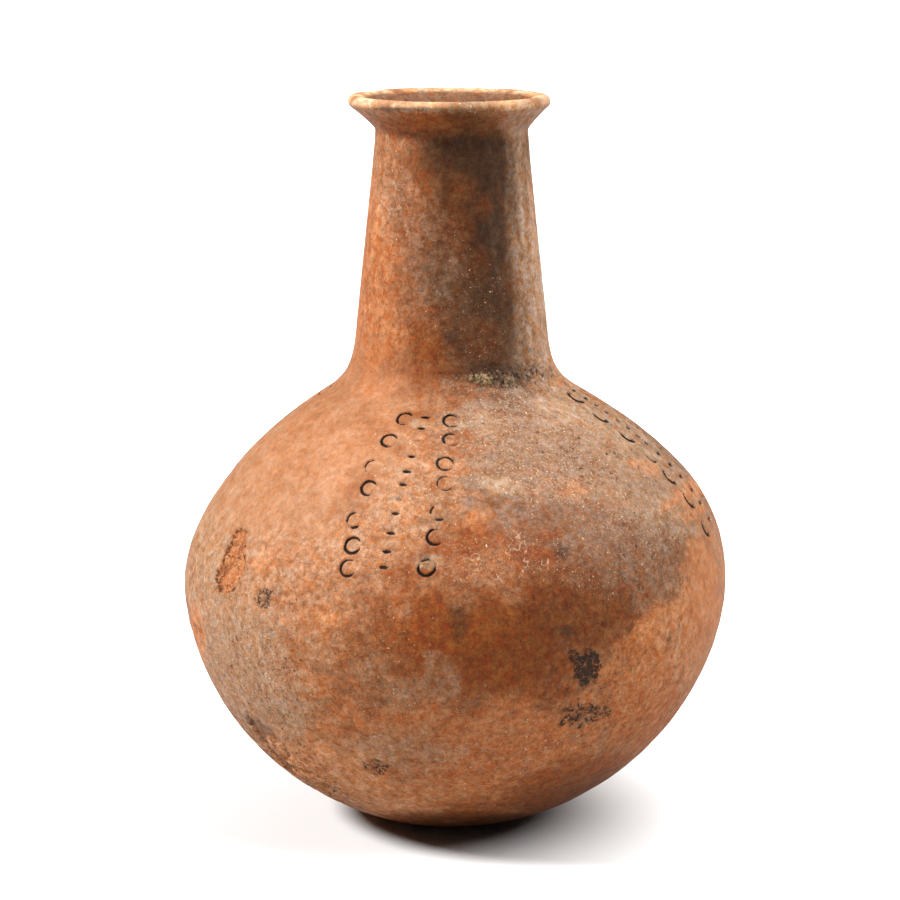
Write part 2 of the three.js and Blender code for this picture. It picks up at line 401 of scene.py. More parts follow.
# The arcs that show of each front ring, from the top of the row down: the deepest side in degrees round
# from its right, the part of the circle in degrees, and the depth from 0 to 1.
LEFT_ARCS = [
    [(140, 210, 0.95), (265, 50, 0.45)],
    [(160, 280, 1.0)],
    [(145, 120, 0.75), (225, 40, 0.3)],
    [(165, 270, 1.0)],
    [(150, 120, 0.8), (285, 60, 0.9)],
    [(195, 330, 1.0)],
    [(215, 240, 0.85), (90, 50, 0.5)],
]
RIGHT_ARCS = [
    [(150, 220, 0.95), (280, 60, 0.4)],
    [(145, 170, 0.85), (285, 70, 0.35)],
    [(155, 330, 0.75)],
    [(140, 160, 0.5), (280, 90, 0.45)],
    [(160, 70, 0.7), (275, 60, 0.7)],
    [(205, 230, 0.95), (90, 40, 0.3)],
    [(265, 220, 0.95), (105, 70, 0.6), (180, 40, 0.5)],
]
# The row of the right panel that shows at the pot's edge.
EDGE_ARCS = [
    [(195, 260, 1.35)],
    [(220, 210, 1.25)],
    [(215, 210, 1.35)],
    [(225, 160, 0.8)],
    [(195, 230, 1.35)],
    [(205, 210, 1.35)],
    [(210, 210, 1.3)],
]
# The front pricks that soil has filled, by their index from the top, and how deep they still are.
FILLED_PRICKS = (2, 6)
FILLED_DEPTH = 0.3

# The panels: where the row of pricks starts and ends, in degrees round, and the side that the reed bit.
PANEL_TURNS = [((-11.5, -16), 160), ((79, 77.5), 215), ((168, 165), 185), ((259, 256), 200)]


def height_at(down):
    """The height at a distance down the wall from the foot of the neck."""
    return np.interp(run_at(neck_foot.height) - down, outer_run, outer_points[:, 1])


def turn_at(down, downs, ends):
    """The turn of a row of pricks at a distance down the wall. The row bends a little."""
    share = (down - downs[0]) / (downs[-1] - downs[0])
    return ends[0] + (ends[1] - ends[0]) * share * (2 - share)


rings = []
pricks = []
hand = np.random.default_rng(7)
for number, (ends, bite) in enumerate(PANEL_TURNS):
    front = number % 2 == 0
    prick_downs = FRONT_PRICKS if front else SIDE_PRICKS
    rows = [(-1, FRONT_LEFT if front else SIDE_LEFT), (1, FRONT_RIGHT if front else SIDE_RIGHT)]
    for side, row in rows:
        for i, (down, out) in enumerate(row):
            height = height_at(down)
            turn = turn_at(down, prick_downs, ends) + side * math.degrees(out / radius_at(height))
            if number == 0:
                arcs = (LEFT_ARCS if side < 0 else RIGHT_ARCS)[i]
            elif number == 1 and side < 0:
                arcs = EDGE_ARCS[i]
            else:
                arcs = [(bite + hand.uniform(-25, 25), hand.uniform(150, 300), hand.uniform(0.7, 1))]
            rings.append(Ring(turn, height, arcs))
    for i, down in enumerate(prick_downs):
        filled = number == 0 and i in FILLED_PRICKS
        depth = FILLED_DEPTH if filled else hand.uniform(0.85, 1)
        half = PRICK_HALF * hand.uniform(0.85, 1.1)
        larger = 1 if front else SIDE_PRICKS_LARGER
        turn = turn_at(down, prick_downs, ends)
        pricks.append(Prick(turn, height_at(down), larger * half, larger * PRICK_RISE, depth))
print(len(rings), "rings and", len(pricks), "pricks")

# %% [markdown]
# ## Naming places
# A place on the side that shows is easiest to name as it is seen: so many pixels from the left and from the
# top of the picture, with its half width and half height in pixels too. A place on the other sides is named
# by turn, height and millimetres.

# %% Places
Seen = namedtuple("Seen", "x y wide tall lean strength", defaults=(0, 1))
Patch = namedtuple("Patch", "turn height wide tall lean strength", defaults=(0, 1))
# A place that reaches the pot's edge goes on round it, and fades out within this turn in degrees.
FADES_WITHIN = 35


def inside_place(wall, place):
    """How deep inside a place each vertex is: 1 in its middle, 0 at its edge and less outside it."""
    turned = 0
    if isinstance(place, Seen):
        across = wall.spot[:, 0] - place.x
        above = place.y - wall.spot[:, 1]
        turned = wall.turned / FADES_WITHIN
    else:
        across, above = from_mark(wall, place.turn, place.height)
    lean = math.radians(place.lean)
    along_it = across * math.cos(lean) + above * math.sin(lean)
    over_it = above * math.cos(lean) - across * math.sin(lean)
    return 1 - np.hypot(along_it / place.wide, over_it / place.tall) - turned


print("places can be named")

# %% [markdown]
# ## Cutting the skin finer where it matters
# A mesh fine enough for a ring would be millions of faces all over. So the spun skin is cut again only
# where something small sits: once over the side that shows, then under the crusts and the flaked hollow,
# and finest under the marks.

# %% Finer faces
ROUGH_PLACES = {
    "flaked hollow": Seen(232, 562, 20, 42, -10),
    "crust at the neck": Seen(486, 380, 34, 16),
    "pits at the neck": Seen(535, 372, 22, 14),
    "soot": Seen(582, 685, 28, 48),
    "dark hatching": Seen(262, 597, 16, 18),
    "ragged foot": Seen(290, 765, 60, 26, -38),
    "pits at the left": Seen(288, 600, 22, 34),
}
# How far from a ring's line the faces are cut finer, first the ring and then its groove, and how far across
# and up from the middle of a prick, in millimetres.
RING_REACH = 1.0
GROOVE_REACH = 0.55
PRICK_REACH = (1.9, 1.1)
# The side that shows: how far round from the front, in degrees, and between which heights. The neck is left
# out, because its faces are narrow already.
SHOWN_TURN = 78
SHOWN_HEIGHTS = (3, 134)


def near_rings(wall, reach):
    """Vertices that are nearer than this to the line of a ring."""
    found = np.zeros(len(wall.turn), bool)
    for ring in rings:
        distance = np.hypot(*from_mark(wall, ring.turn, ring.height))
        found |= np.abs(distance - RING_RADIUS) < reach
    return found


def near_pricks(wall, across, up):
    """Vertices in a box round a prick."""
    found = np.zeros(len(wall.turn), bool)
    for prick in pricks:
        x, y = from_mark(wall, prick.turn, prick.height)
        found |= (np.abs(x) < across) & (np.abs(y) < up)
    return found


def refine(title, chosen, cuts):
    """Cuts the faces that have a chosen vertex into smaller ones. chosen picks vertices of the wall."""
    wall = read_wall(pot.data)
    picked = chosen(wall) & wall.outside
    bpy.ops.object.mode_set(mode="EDIT")
    bpy.ops.mesh.select_mode(type="FACE")
    bpy.ops.mesh.select_all(action="DESELECT")
    mesh = bmesh.from_edit_mesh(pot.data)
    for face in mesh.faces:
        if any(picked[corner.index] for corner in face.verts):
            face.select_set(True)
    bmesh.update_edit_mesh(pot.data)
    bpy.ops.mesh.subdivide(number_cuts=cuts)
    bpy.ops.object.mode_set(mode="OBJECT")
    print(title, "cut to", len(pot.data.polygons), "faces")


def shows(wall):
    """The side of the belly and shoulder that the camera sees."""
    lowest, highest = SHOWN_HEIGHTS
    return (np.abs(wall.turn) < SHOWN_TURN) & (wall.height > lowest) & (wall.height < highest)


def rough(wall):
    """All the places with relief of their own."""
    return np.max([inside_place(wall, place) for place in ROUGH_PLACES.values()], axis=0) > 0


refine("the side that shows", shows, 1)
refine("rough places", rough, 1)
refine("rings", lambda wall: near_rings(wall, RING_REACH), 1)
refine("pricks", lambda wall: near_pricks(wall, *PRICK_REACH), 2)
refine("ring grooves", lambda wall: near_rings(wall, GROOVE_REACH), 1)

bpy.ops.object.mode_set(mode="EDIT")
bpy.ops.mesh.select_all(action="DESELECT")
bpy.ops.mesh.select_face_by_sides(number=4, type="GREATER")
bpy.ops.mesh.quads_convert_to_tris()
bpy.ops.object.mode_set(mode="OBJECT")
pot.data.calc_loop_triangles()
print("the skin has", len(pot.data.loop_triangles), "triangles")

# %% [markdown]
# ## Relief
# Every vertex now moves in or out along its own way out of the clay. Each kind of relief is one small rule:
# the unevenness that scraping and rubbing leave, the marks, the hollow where a flake sprang off, crusts of
# soil, and chips. The noise is the same on every run, because it depends only on the place.

# %% Unevenness of the hand
# How deep each kind goes, in millimetres: dents, scrapes, grit, wear of the lip and bumps inside.
DENTS = 0.5
SCRAPES = 0.1
GRIT = 0.05
LIP_WEAR = 0.35
INSIDE_BUMPS = 0.25

wall = read_wall(pot.data)


def grain(size, octaves=2, seed=0, stretch=(1, 1, 1)):
    """Smooth noise on the wall, about -1 to 1, with lumps of a size in millimetres."""
    scaled = wall.points / (size * np.array(stretch)) + 17.3 * seed
    return np.array([noise.fractal(Vector(p), 1.0, 2.1, octaves) for p in scaled])


on_belly = ease(wall.height, 2, 14) * (1 - ease(wall.height, 120, 150))
on_neck = ease(wall.height, 135, 160) * (1 - ease(wall.height, 198, 206))
on_lip = ease(wall.height, 205, 211)
front_facing = np.clip(np.cos(np.radians(wall.turn)) ** 2, 0.08, 1)

clouds = grain(20, octaves=4, seed=1)
blots = grain(7, octaves=4, seed=2)
lumps = grain(3.2, octaves=3, seed=7)
crumbs = grain(1.5, octaves=2, seed=6)
strokes = grain(4, octaves=3, seed=3, stretch=(1, 1, 7))
flecks = grain(2.6, octaves=4, seed=9, stretch=(2.4, 2.4, 1))
relief = np.zeros(len(wall.turn))
relief -= DENTS * front_facing * on_belly * np.clip(grain(42, seed=4) + 0.3, 0, None)
relief += SCRAPES * on_belly * (grain(5, seed=5, stretch=(4, 4, 1)) - 1) + GRIT * lumps
relief += SCRAPES * on_neck * strokes
relief -= LIP_WEAR * on_lip * np.clip(blots + 0.2, 0, None)
within = ~wall.outside
relief[within] = INSIDE_BUMPS * blots[within] * ease(wall.height[within], 9, 20)
print("the hand's unevenness is up to", round(float(np.abs(relief).max()), 2), "mm")

# %% Rings and pricks
# Even where the reed hardly touched, it left a faint line. An arc is at its deepest up to a first share of
# its half width, and has faded out by a second one. The clay stands up a little on both banks of a groove.
FAINT = 0.10
ARC_FULL = 0.62
ARC_GONE = 1.15
BANK_AWAY = 1.5 * RING_GROOVE
BANK_WIDE = 0.3
BANK_TALL = 0.06

ring_edge = np.full(len(wall.turn), 9.0)
ring_depth = np.zeros(len(wall.turn))
for ring in rings:
    x, y = from_mark(wall, ring.turn, ring.height)
    distance = np.hypot(x, y)
    close = (distance < 3.6) & wall.outside
    edge = distance[close] - RING_RADIUS
    angle = np.degrees(np.arctan2(y[close], x[close]))
    depth = np.full(close.sum(), FAINT)
    for side, width, deep in ring.arcs:
        off = np.abs((angle - side + 180) % 360 - 180)
        depth = np.maximum(depth, deep * (1 - ease(off, ARC_FULL * width / 2, ARC_GONE * width / 2)))
    better = np.abs(edge) < np.abs(ring_edge[close])
    spots = np.flatnonzero(close)[better]
    ring_edge[spots] = edge[better]
    ring_depth[spots] = depth[better]
groove = np.clip(1 - (ring_edge / RING_GROOVE) ** 2, 0, 1)
banks = np.exp(-(((np.abs(ring_edge) - BANK_AWAY) / BANK_WIDE) ** 2))
relief += ring_depth * (BANK_TALL * banks - RING_DEPTH * groove)

prick_edge = np.full(len(wall.turn), 3.0)
prick_depth = np.zeros(len(wall.turn))
for prick in pricks:
    x, y = from_mark(wall, prick.turn, prick.height)
    close = (np.abs(x) < 3) & (np.abs(y) < 1.7) & wall.outside
    lens = np.abs(y[close]) / prick.rise - (1 - (x[close] / prick.half) ** 2)
    better = lens < prick_edge[close]
    spots = np.flatnonzero(close)[better]
    prick_edge[spots] = lens[better]
    prick_depth[spots] = prick.depth
relief -= PRICK_DEPTH * prick_depth * np.clip(-prick_edge, 0, 1)
print("marks pressed into", int((groove > 0).sum()), "vertices")

# %% The flaked hollow
# Its outline in the picture, from the top clockwise, in pixels, and a place that takes all of it in.
SPALL_OUTLINE = [(241, 525), (246, 532), (244, 545), (245, 558), (243, 571), (238, 580), (235, 589)]
SPALL_OUTLINE += [(225, 595), (217, 592), (213, 580), (217, 568), (221, 557), (227, 546), (231, 535)]
SPALL_OUTLINE += [(236, 528)]
SPALL_PLACE = Seen(232, 562, 40, 60)
SPALL_DEPTH = 1.6
PIXELS_PER_MM = 3.5


def depth_inside(x, y, outline):
    """The distance from each point to an outline, more than 0 inside it."""
    corners = np.array(outline, float)
    nearest = np.full(len(x), 1e9)
    crossings = np.zeros(len(x), int)
    for (x0, y0), (x1, y1) in zip(corners, np.roll(corners, -1, axis=0)):
        length = (x1 - x0) ** 2 + (y1 - y0) ** 2
        t = np.clip(((x - x0) * (x1 - x0) + (y - y0) * (y1 - y0)) / length, 0, 1)
        nearest = np.minimum(nearest, np.hypot(x - x0 - t * (x1 - x0), y - y0 - t * (y1 - y0)))
        if y0 != y1:
            passes = (y0 > y) != (y1 > y)
            crossings += passes & (x < x0 + (y - y0) * (x1 - x0) / (y1 - y0))
    return np.where(crossings % 2 == 1, nearest, -nearest)


ragged = 0.6 * lumps + 0.5 * crumbs
near_spall = wall.facing & (inside_place(wall, SPALL_PLACE) > 0)
spall_edge = np.full(len(wall.turn), -9.0)
in_picture = depth_inside(wall.spot[near_spall, 0], wall.spot[near_spall, 1], SPALL_OUTLINE)
spall_edge[near_spall] = in_picture / PIXELS_PER_MM + ragged[near_spall]
spall = ease(spall_edge, -0.1, 0.3)
spall_floor = SPALL_DEPTH * ease(spall_edge, 0, 2.0)
relief -= spall * (0.4 + spall_floor + 0.8 * lumps * ease(spall_edge, 0, 1.2) + 0.7 * crumbs)
print("the hollow covers", int((spall > 0.5).sum()), "vertices")

# %% Crusts and chips
# What soil has left standing on the surface, and what has broken away. Each place has a relief in
# millimetres and the noise that breaks it up.
CRUST_PLACES = {
    "crust at the neck": (Seen(482, 379, 20, 8, -8), 0.9, crumbs),
    "crumbs beside it": (Seen(508, 381, 14, 6), 0.6, crumbs),
    "dusty shoulder": (Seen(530, 440, 75, 42, -14), 0.14, crumbs),
    "upper soot": (Seen(583, 663, 14, 20), 0.3, lumps),
    "lower soot": (Seen(582, 712, 24, 12), 0.25, lumps),
}
CHIP_PLACES = {
    "ragged foot": (Seen(262, 740, 50, 16, -42), 0.9, blots),
    "ragged heel": (Seen(312, 782, 44, 12, -30), 0.8, blots),
    "worn strip": (Seen(198, 634, 7, 24, 8), 0.7, lumps),
    "dark hatching": (Seen(262, 597, 9, 11), 0.7, crumbs),
    "chips under the middle": (Seen(377, 768, 16, 9), 0.4, lumps),
    "chips in the left cheek": (Seen(282, 600, 10, 26, 20), 0.5, crumbs),
    "chips at the top left": (Seen(307, 500, 12, 8), 0.4, crumbs),
    "smudged pits": (Seen(460, 625, 10, 18), 0.35, crumbs),
    "pits at the neck": (Seen(534, 370, 8, 8), 0.7, crumbs),
}

for place, raised, broken_by in CRUST_PLACES.values():
    share = ease(inside_place(wall, place), 0, 0.5) * wall.outside
    relief += share * raised * np.clip(0.3 + broken_by, 0, 1.2)
for place, lost, broken_by in CHIP_PLACES.values():
    share = ease(inside_place(wall, place), 0, 0.5) * wall.outside
    relief -= share * lost * ease(broken_by, 0.02, 0.3)
print("relief now", round(float(relief.min()), 2), "to", round(float(relief.max()), 2), "mm")

# %% Pits
# Grit that fell out left small round pits. The larger ones are named by place: turn, height and radius.
PITS = [
    (57, 136.5, 0.7), (58.5, 134, 0.8), (55, 133, 0.6), (60, 131.5, 0.6), (49, 135.5, 0.5), (-27, 127, 0.7),
    (-26, 125.5, 0.6), (-7, 144, 0.9), (-33, 142, 0.4), (-38, 73.5, 0.9), (-35, 75.5, 0.6), (-31, 103, 0.5),
    (-29, 103, 0.4), (-47, 83, 0.8), (-37, 69, 0.6), (-33, 68.5, 0.8), (-44, 70, 0.5), (-41, 69, 0.5),
    (17, 97, 0.5), (50, 79, 0.6), (52, 76, 0.5), (55, 84, 0.5), (62, 72, 0.6), (2, 76, 1.0), (-2, 79, 0.8),
    (31, 74, 1.0), (23, 69, 0.6), (-19, 31, 0.8), (13, 53, 0.6), (18, 33, 0.6), (-12, 74, 0.5), (10, 86, 0.5),
]

for turn, height, radius in PITS:
    x, y = from_mark(wall, turn, height)
    close = np.hypot(x, y) < 3 * radius
    shape = 1 - (np.hypot(x, y) + 0.3 * radius * lumps) / radius
    relief -= close * wall.outside * 0.8 * radius * ease(shape, 0, 0.7)
print(len(PITS), "pits")

# %% Move the vertices
# The skin must not stand outside the solid's own box, so nothing rises more than a crust's height, and the
# base stays flat to stand on.
ROOM = 0.02
BASE_HEIGHT = 1.5
resting = (wall.height < BASE_HEIGHT) & wall.outside
relief[resting] = np.minimum(relief[resting], 0)
beyond_belly = np.hypot(wall.points[:, 0], wall.points[:, 1]) + relief - (WIDEST - ROOM)
relief = np.where(wall.outside & (beyond_belly > 0), relief - beyond_belly, relief)
placed = wall.points + relief[:, None] * wall.out
placed[:, 0] += drift_at(wall.height)
placed[:, 2] = np.clip(placed[:, 2], 0, TALL - ROOM)
pot.data.vertices.foreach_set("co", (placed * MM).ravel())
pot.data.update()
pot.data.shade_smooth()
print("lowest and highest", placed.min(axis=0).round(2), placed.max(axis=0).round(2))

# %% [markdown]
# ## The coats of colour
# The fire, the soil and wear coloured the pot in patches. Their colours are laid down in coats, as a
# painter would, from the widest to the smallest: each coat has one colour from the palette, and soft places
# whose edges are broken up by a noise. Some coats also paint light and shade: painted shade under the lip,
# in the less lit middle of the belly and along its base, painted rim light along the right edges, a painted
# highlight on the crest of the lip and painted floor light on the lower left of the heel. The result is one
# colour on each vertex. The finest grain comes later, in the material.

# %% Palette
PALETTE = {
    "salmon": "#8f6040",
    "pale salmon": "#976a4a",
    "brick": "#78421d",
    "orange": "#985a31",
    "burnt orange": "#743a10",
    "umber": "#603211",
    "mauve brown": "#6d4c37",
    "dust": "#70513b",
    "pale dust": "#896c53",
    "grey tan": "#8e6a4e",
    "apricot": "#a0643a",
    "amber": "#b2774d",
    "peach": "#c69e78",
    "dust and rim light pink": "#98785f",
    # The fire cloud's brown and the soot brown also paint the shade that the lip casts on the top of the
    # neck.
    "fire and shade brown": "#46280f",
    # This darkest brown also paints the shade along the base of the pot.
    "smoke and shade": "#2b190a",
    "soot and shade brown": "#2c190d",
    "inside clay": "#69452c",
    "rootlet": "#b89c82",
    # The dark in the rings and pricks is dirt and painted shade in the grooves and holes.
    "grime and shade in a ring": "#100804",
    "grime and shade in a prick": "#0d0603",
    # The dark in a hollow is painted shade, darker the deeper the hollow.
    "shade in a hollow": "#2f170b",
}


def colour(code):
    """An sRGB hex code as linear colour."""
    parts = [int(code[i : i + 2], 16) / 255 for i in (1, 3, 5)]
    return [p / 12.92 if p <= 0.04045 else ((p + 0.055) / 1.055) ** 2.4 for p in parts] + [1]


print(len(PALETTE), "colours")

# %% Coats
# Each coat: its colour, the noise that breaks its edges, how ragged and how soft they are, and its places.
Coat = namedtuple("Coat", "colour broken_by ragged soft places")

COATS = [
    Coat("brick", clouds, 0.5, 0.9, {
        # The middle places are deeper and more saturated partly because less light reaches the middle:
        # painted shade over the clay's own darker red.
        "middle": Seen(440, 645, 150, 80),
        "under the marks": Seen(425, 592, 60, 34),
        "neck low": Seen(425, 335, 34, 60),
        "neck middle": Seen(422, 240, 42, 120),
        "between the top marks": Seen(424, 436, 54, 24, 0, 0.85),
        "foot of the neck": Seen(455, 390, 50, 20, 0, 0.7),
        "right cheek": Seen(610, 565, 80, 60),
        "back": Patch(165, 70, 90, 60),
        "left side": Patch(-110, 60, 40, 50),
    }),
    Coat("orange", blots, 0.6, 0.8, {
        "below": Seen(450, 745, 160, 46),
        "low right": Seen(645, 700, 60, 64, 0, 0.9),
        # Paler along the right edge of the belly partly as painted rim light from the right.
        "right edge": Seen(700, 640, 26, 66),
        "heel": Seen(460, 785, 90, 22, 0, 0.9),
        "neck left": Seen(378, 290, 24, 110, 0, 0.8),
        "left of the marks": Seen(310, 450, 60, 34, 0, 0.4),
        "left dabs": Seen(322, 620, 24, 12, 0, 0.8),
        "low left dabs": Seen(300, 684, 30, 16, 0, 0.7),
        "beside the hollow": Seen(285, 612, 16, 18, 0, 0.7),
        "right side": Patch(120, 70, 40, 50),
        "back low": Patch(200, 40, 50, 25),
        "back neck": Patch(-150, 175, 20, 40, 0, 0.7),
    }),
    Coat("burnt orange", blots, 0.45, 0.7, {
        "right of the marks": Seen(464, 538, 40, 20, 12),
        "further right": Seen(532, 548, 40, 18),
        # The middle places are deeper partly as painted shade of the less lit middle, over the clay's own
        # deep orange-brown.
        "wide middle": Seen(490, 615, 85, 48),
        "low middle": Seen(490, 662, 80, 30),
        "left of it": Seen(425, 625, 34, 30),
        "right streak": Seen(610, 532, 26, 7, 16),
        "foot of the neck": Seen(440, 362, 34, 20, 0, 0.6),
        # Darker under the lip: painted shade of the lip on the neck.
        "under the lip": Seen(440, 126, 90, 12, 0, 0.8),
        # The heel and lowest-edge places darken the belly towards its base: painted shade where the pot meets
        # its shadow.
        "heel right": Seen(560, 785, 70, 22, 20, 0.8),
        "lowest edge": Seen(450, 818, 110, 8, 0, 0.9),
        "heel middle": Seen(520, 796, 80, 14, 8, 0.7),
        "under the dust": Seen(545, 540, 50, 16, 6, 0.8),
        "back": Patch(150, 85, 40, 30),
        "left side": Patch(-105, 90, 30, 26, 0, 0.8),
    }),
    Coat("umber", lumps, 0.5, 1.3, {
        # The middle places are deeper partly as painted shade of the less lit middle.
        "middle right": Seen(580, 612, 70, 52, 0, 0.9),
        "above the soot": Seen(550, 645, 50, 26, 0, 0.5),
        # Darker low at the right of the heel: painted shade towards the base.
        "heel right": Seen(565, 797, 60, 18, 15, 0.7),
        "upper": Seen(565, 582, 55, 24, 0, 0.7),
        "dark left": Seen(470, 600, 24, 20, 30, 0.6),
        "back": Patch(175, 60, 26, 22, 0, 0.8),
    }),
    Coat("mauve brown", flecks, 0.7, 1.2, {
        "under the dust": Seen(560, 520, 80, 24, -8, 0.8),
        "right band": Seen(655, 558, 46, 44, 0, 0.7),
        "upper left": Seen(505, 465, 34, 12, -10, 0.8),
        "upper right": Seen(545, 440, 34, 12, -10, 0.7),
        "beside the neck": Seen(520, 405, 40, 10, -12, 0.7),
        "right side": Patch(105, 100, 26, 18, 0, 0.6),
    }),
    Coat("dust", flecks, 0.6, 1.1, {
        "shoulder": Seen(545, 442, 95, 46, -18),
        "right shoulder": Seen(635, 468, 56, 40, -40),
        "far right": Seen(672, 515, 34, 36, -50, 0.9),
        "low edge": Seen(500, 482, 36, 18),
        "between the rows": Seen(425, 480, 34, 50, 0, 0.35),
        "lower right": Seen(612, 548, 60, 34, -20, 0.6),
        "right cheek": Seen(665, 570, 40, 40, -30, 0.5),
        "right side": Patch(96, 110, 30, 18),
        "back shoulder": Patch(190, 112, 60, 14, 0, 0.7),
        "left shoulder": Patch(-115, 112, 40, 16, 0, 0.5),
    }),
    Coat("pale dust", flecks, 0.8, 0.7, {
        "crown": Seen(592, 416, 60, 18, -30, 0.9),
        "right shoulder": Seen(645, 485, 50, 34, -40, 0.55),
        "white spot": Seen(501, 486, 15, 7, -10),
        "second white spot": Seen(518, 491, 6, 8),
        "right": Seen(622, 456, 36, 18, -32, 0.6),
        "by the neck": Seen(566, 402, 24, 10, -20, 0.7),
        "left of the crust": Seen(490, 425, 26, 14, 0, 0.5),
        "round the pricks": Seen(424, 424, 13, 4),
        "filled prick": Seen(403, 472, 9, 5),
        "lower filled prick": Seen(393, 500, 9, 6),
        "by a ring": Seen(430, 562, 14, 6, 20, 0.8),
        "back": Patch(200, 116, 30, 8, 0, 0.7),
    }),
    Coat("mauve brown", lumps, 0.8, 0.7, {
        "streak": Seen(540, 436, 44, 9, -22, 0.7),
        "second streak": Seen(590, 462, 50, 9, -26, 0.6),
        "third streak": Seen(520, 462, 34, 8, -14, 0.7),
        "low streak": Seen(590, 508, 50, 10, -22, 0.7),
        "low middle": Seen(530, 510, 50, 14, -8, 0.9),
        "grey cheek": Seen(650, 482, 14, 12, -40, 0.5),
        "right": Seen(640, 532, 50, 12, -34, 0.6),
    }),
    Coat("grey tan", flecks, 0.6, 1.0, {
        "left cheek": Seen(212, 560, 30, 84),
        "left low": Seen(238, 650, 42, 62, 20),
        "heel at the left": Seen(272, 712, 50, 36, -35, 0.9),
        "veil": Seen(440, 684, 18, 26, 0, 0.5),
        "veil at its left": Seen(402, 692, 38, 16, 0, 0.4),
        "small veil": Seen(372, 670, 18, 16, 0, 0.4),
        "beside the hollow": Seen(253, 542, 8, 16, 0, 0.8),
        "below": Seen(380, 750, 60, 16, 0, 0.4),
        "right cheek": Seen(690, 600, 16, 26, 0, 0.4),
        "left side": Patch(-92, 70, 22, 40, 0, 0.9),
        "back": Patch(215, 75, 24, 30, 0, 0.6),
        "right side": Patch(130, 40, 30, 18, 0, 0.5),
    }),
    Coat("pale salmon", blots, 0.6, 0.9, {
        "left shoulder": Seen(290, 480, 90, 60, 30, 0.6),
        "left cheek": Seen(310, 570, 80, 60, 0, 0.5),
        "round the marks": Seen(395, 480, 50, 70, 0, 0.6),
        "low left": Seen(300, 650, 60, 40, 0, 0.35),
        # Paler along the right edge partly as painted rim light from the right.
        "low right edge": Seen(694, 650, 26, 44, 0, 0.8),
        "by the roots": Seen(476, 584, 50, 20, 6, 0.35),
        "low middle": Seen(395, 752, 50, 20, 0, 0.6),
        "back": Patch(230, 90, 40, 30, 0, 0.6),
    }),
    Coat("apricot", blots, 0.35, 0.5, {
        "heel middle": Seen(440, 792, 60, 12, 0, 0.5),
        "low right": Seen(640, 668, 40, 30, 0, 0.45),
        # The right cheek, edge of the shoulder and right edge places are paler partly as painted rim light
        # from the right, over the clay's own apricot.
        "right cheek": Seen(700, 620, 22, 80, 0, 0.6),
        "edge of the shoulder": Seen(693, 490, 10, 34, -58, 0.8),
        "worn strip": Seen(198, 634, 7, 28, 8),
        "worn spot": Seen(645, 632, 12, 15, 20),
        "worn cheek": Seen(668, 616, 18, 16, 40, 0.7),
        "yellow spot": Seen(650, 467, 12, 7, -30, 0.6),
        "second yellow spot": Seen(634, 463, 7, 5, -30, 0.7),
        "yellow dab": Seen(690, 512, 10, 16, -60, 0.5),
        "right edge": Seen(694, 575, 12, 34, 0, 0.5),
        "in the dust": Seen(572, 492, 14, 9, 0, 0.5),
        "beside a ring": Seen(478, 520, 16, 9, 0, 0.5),
        "left dab": Seen(262, 562, 10, 8, 0, 0.6),
        "neck dab": Seen(378, 222, 6, 16, 0, 0.6),
        "back": Patch(140, 95, 16, 10, 0, 0.6),
    }),
    Coat("amber", blots, 0.6, 0.9, {
        # The heel place is paler partly as painted light thrown up from the floor onto the lower left.
        "heel": Seen(335, 776, 84, 22, -20, 0.9),
        "left dabs": Seen(330, 618, 14, 6, 0, 0.6),
    }),
    Coat("fire and shade brown", clouds, 0.35, 0.9, {
        "middle of the neck": Seen(472, 235, 46, 130, 0, 0.85),
        "top of the neck": Seen(478, 158, 58, 30, 0, 0.9),
        "right of the neck": Seen(508, 270, 30, 130, 0, 0.85),
        "low on the neck": Seen(500, 345, 42, 40, 0, 0.85),
        # Darker under the lip: painted shade of the lip, over the fire cloud's own brown.
        "under the lip": Seen(470, 132, 60, 8, 0, 0.4),
        "back of the neck": Patch(140, 185, 22, 36, 0, 0.6),
    }),
    Coat("smoke and shade", blots, 0.5, 1.2, {
        "top": Seen(482, 158, 38, 26, 0, 0.6),
        "top left": Seen(462, 148, 40, 10, 0, 0.5),
        "middle": Seen(491, 222, 24, 74, 0, 0.8),
        "lower": Seen(490, 290, 26, 40, 0, 0.6),
        "low right": Seen(505, 330, 16, 36, 0, 0.5),
        "left foot": Seen(462, 345, 18, 30, 0, 0.5),
        "foot": Seen(498, 372, 44, 13, 0, 0.7),
        "grey dot": Seen(562, 553, 8, 8, 0, 0.7),
        "smudge": Seen(459, 625, 8, 16, 0, 0.5),
        # The heel place is painted shade along the base of the pot.
        "heel": Seen(480, 822, 90, 8, 0, 0.7),
        "back low": Patch(170, 45, 22, 14, 0, 0.5),
    }),
    Coat("soot and shade brown", lumps, 0.4, 0.8, {
        # Darker under the lip: painted shade of the lip on the neck, with some real soot.
        "under the lip": Seen(462, 141, 60, 6, -6, 0.35),
        "edge of the lip": Seen(408, 109, 36, 2.2, 0, 0.7),
        "spot": Seen(450, 337, 6, 5, 0, 0.8),
        "dark dot": Seen(567, 631, 8, 5, 0, 0.7),
    }),
    Coat("mauve brown", lumps, 0.7, 0.7, {
        "scuffed neck": Seen(428, 262, 26, 50, 0, 0.25),
        "scuffed middle": Seen(450, 300, 24, 40, 0, 0.25),
            }),
    Coat("umber", blots, 0.6, 0.9, {
        "brown dab": Seen(461, 190, 16, 14, 0, 0.7),
        "second brown dab": Seen(452, 232, 18, 26, 0, 0.7),
        "third brown dab": Seen(480, 262, 12, 18, 0, 0.5),
        "fourth brown dab": Seen(486, 204, 12, 12, 0, 0.6),
        "low brown dab": Seen(484, 338, 20, 18, 0, 0.5),
    }),
    Coat("dust and rim light pink", crumbs, 0.9, 0.6, {
        "scuffed top": Seen(396, 200, 16, 34, 0, 0.35),
        "specks on the neck": Seen(424, 256, 30, 50, 0, 0.15),
    }),
